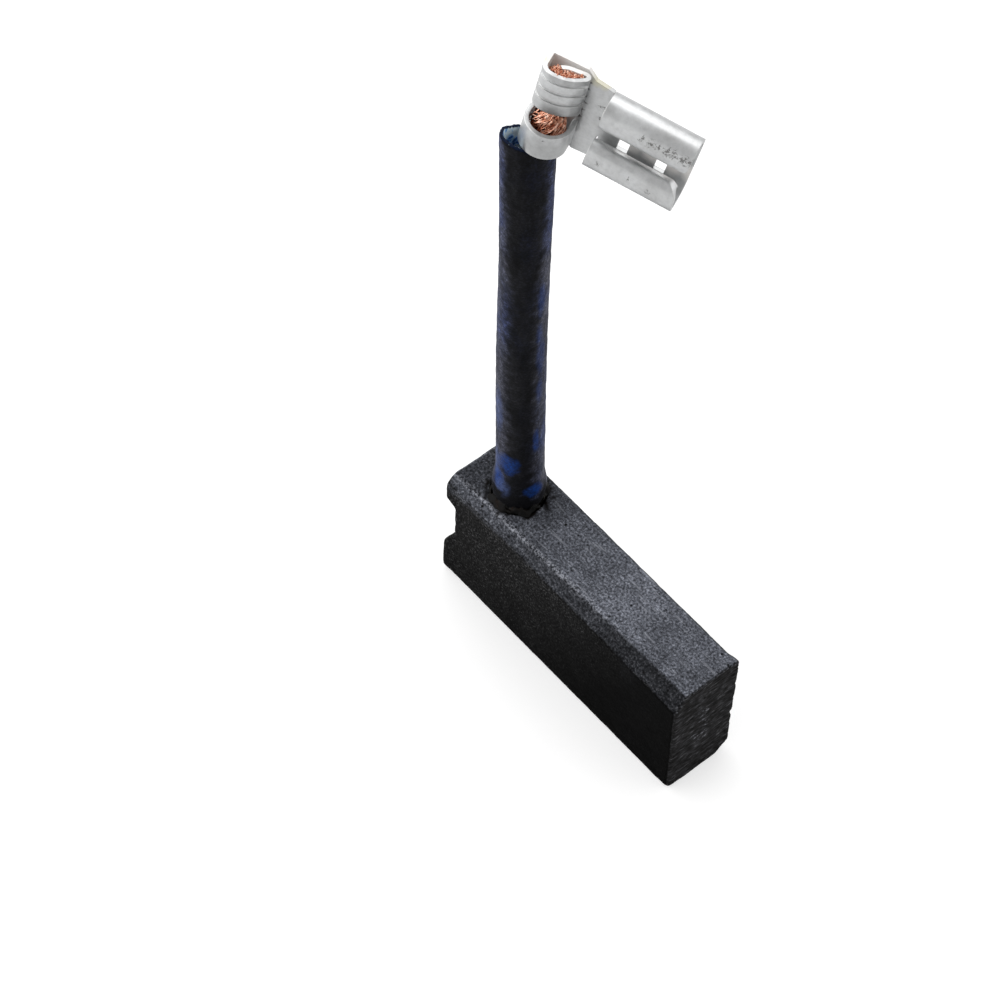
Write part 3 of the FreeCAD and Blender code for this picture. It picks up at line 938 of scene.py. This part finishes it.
def make_strand_ends(material):
    """Cut ends of the strands in the crimp, wherever the CAD lead's end face lies under them."""
    rng = random.Random(8)
    rod = nodes["pigtail"].data
    places = [vertex.co for vertex in rod.vertices]
    surface = BVHTree.FromPolygons(places, [face.vertices for face in rod.polygons])
    tubes = []
    while len(tubes) < STRAND_ENDS:
        out = rng.uniform(-END_REACH, END_REACH)
        back = rng.uniform(-END_REACH, END_REACH)
        start = terminal_point(out, back, CRIMP_TOP + 2.0)
        hit = surface.ray_cast(start, -TERMINAL_UP)[0]
        if hit is None or (hit - TERMINAL_FOOT).dot(TERMINAL_UP) < (CRIMP_TOP - 0.3) * MM:
            continue
        lower = 0.0 if out > -1.2 and back < 0.8 else 1.1
        length = END_DEPTH + rng.uniform(-0.25, 0.05) - lower
        lean_out = rng.uniform(-0.15, 0.15)
        lean_back = rng.uniform(-0.15, 0.15)
        centres = []
        for share in (0.0, 0.4, 0.8, 1.0):
            bend = share ** 2
            up = CRIMP_TOP - END_DEPTH + share * length
            centres.append(terminal_point(out + lean_out * bend, back + lean_back * bend, up))
        tubes.append((centres, END_RADIUS * MM))
    piece = own_mesh("strand_ends", tube_mesh("strand_ends", tubes, 7), material)
    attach(piece, "root")
    return piece


def make_floor():
    """Pale paper floor, lifted to white for the camera and a little for reflections."""
    half = FLOOR_HALF
    corners = [(-half, -half, 0), (half, -half, 0), (half, half, 0), (-half, half, 0)]
    mesh = bpy.data.meshes.new("floor")
    mesh.from_pydata(corners, [], [(0, 1, 2, 3)])
    floor = bpy.data.objects.new("floor", mesh)
    bpy.context.scene.collection.objects.link(floor)
    material, tree, shader = new_material("floor_paper")
    rays = tree.nodes.new("ShaderNodeLightPath")
    camera_lift = add_math(tree, "MULTIPLY", rays.outputs["Is Camera Ray"], FLOOR_CAMERA_LIFT)
    glossy_lift = add_math(tree, "MULTIPLY", rays.outputs["Is Glossy Ray"], FLOOR_GLOSSY_LIFT)
    lift = add_math(tree, "ADD", camera_lift, glossy_lift)
    tree.links.new(lift, shader.inputs["Emission Strength"])
    shader.inputs["Emission Color"].default_value = (1.0, 1.0, 1.0, 1.0)
    shader.inputs["Base Color"].default_value = (*grey(FLOOR_SHADE), 1.0)
    shader.inputs["Roughness"].default_value = 0.9
    shader.inputs["Specular IOR Level"].default_value = 0.0
    mesh.materials.append(material)


def add_lamp(name, place, target, size, power):
    """Square soft lamp aimed at a target, in metres and watts."""
    light = bpy.data.lights.new(name, "AREA")
    light.shape = "SQUARE"
    light.size = size
    light.energy = power
    lamp = bpy.data.objects.new(name, light)
    lamp.location = place
    lamp.rotation_euler = (Vector(target) - Vector(place)).to_track_quat("-Z", "Y").to_euler()
    bpy.context.scene.collection.objects.link(lamp)


def make_world():
    """Pale surroundings with the studio's walls, white for the camera."""
    world = bpy.data.worlds.new("studio")
    bpy.context.scene.world = world
    world.use_nodes = True
    tree = world.node_tree
    rays = tree.nodes.new("ShaderNodeLightPath")
    way = tree.nodes.new("ShaderNodeTexCoord").outputs["Generated"]
    split = tree.nodes.new("ShaderNodeSeparateXYZ")
    tree.links.new(way, split.inputs["Vector"])
    sky = add_levels(tree, split.outputs["Z"], (0.0, 0.48), (0.4, 0.74), (0.9, 0.92))
    for wall, start, strength, blend in STUDIO_WALLS:
        facing = add_vector_math(tree, "DOT_PRODUCT", way, wall)
        outside = 0.0 if blend == "ADD" else 1.0
        share = add_levels(tree, facing, (start, outside), (WALL_FULL, strength))
        sky = add_mix(tree, 1.0, sky, share, blend)
    level = add_mix(tree, rays.outputs["Is Camera Ray"], sky, grey(1.0))
    tree.links.new(level, tree.nodes["Background"].inputs["Color"])


make_floor()
make_world()
add_lamp("overhead", (-0.45, 0.4, 0.9), (0, 0, 0.03), 0.9, 3.0)
bpy.context.scene.view_settings.view_transform = "Standard"

copper = copper_material("copper_strand", 1.0)
make_block(carbon_material())
sleeve = make_sleeve(sleeve_material())
make_bead(varnish_material())
# The core copper at level 0.6 is painted shade in the gaps between the loose strands
lead = make_lead(copper_material("copper_core_painted_shade", 0.6))
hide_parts("pigtail")
strands = make_loose_strands(copper)
ends = make_strand_ends(copper)
terminal = nodes["flag_terminal"]
only_material(terminal.data, tin_material())
only_material(nodes["tamping_plug"].data, powder_material())
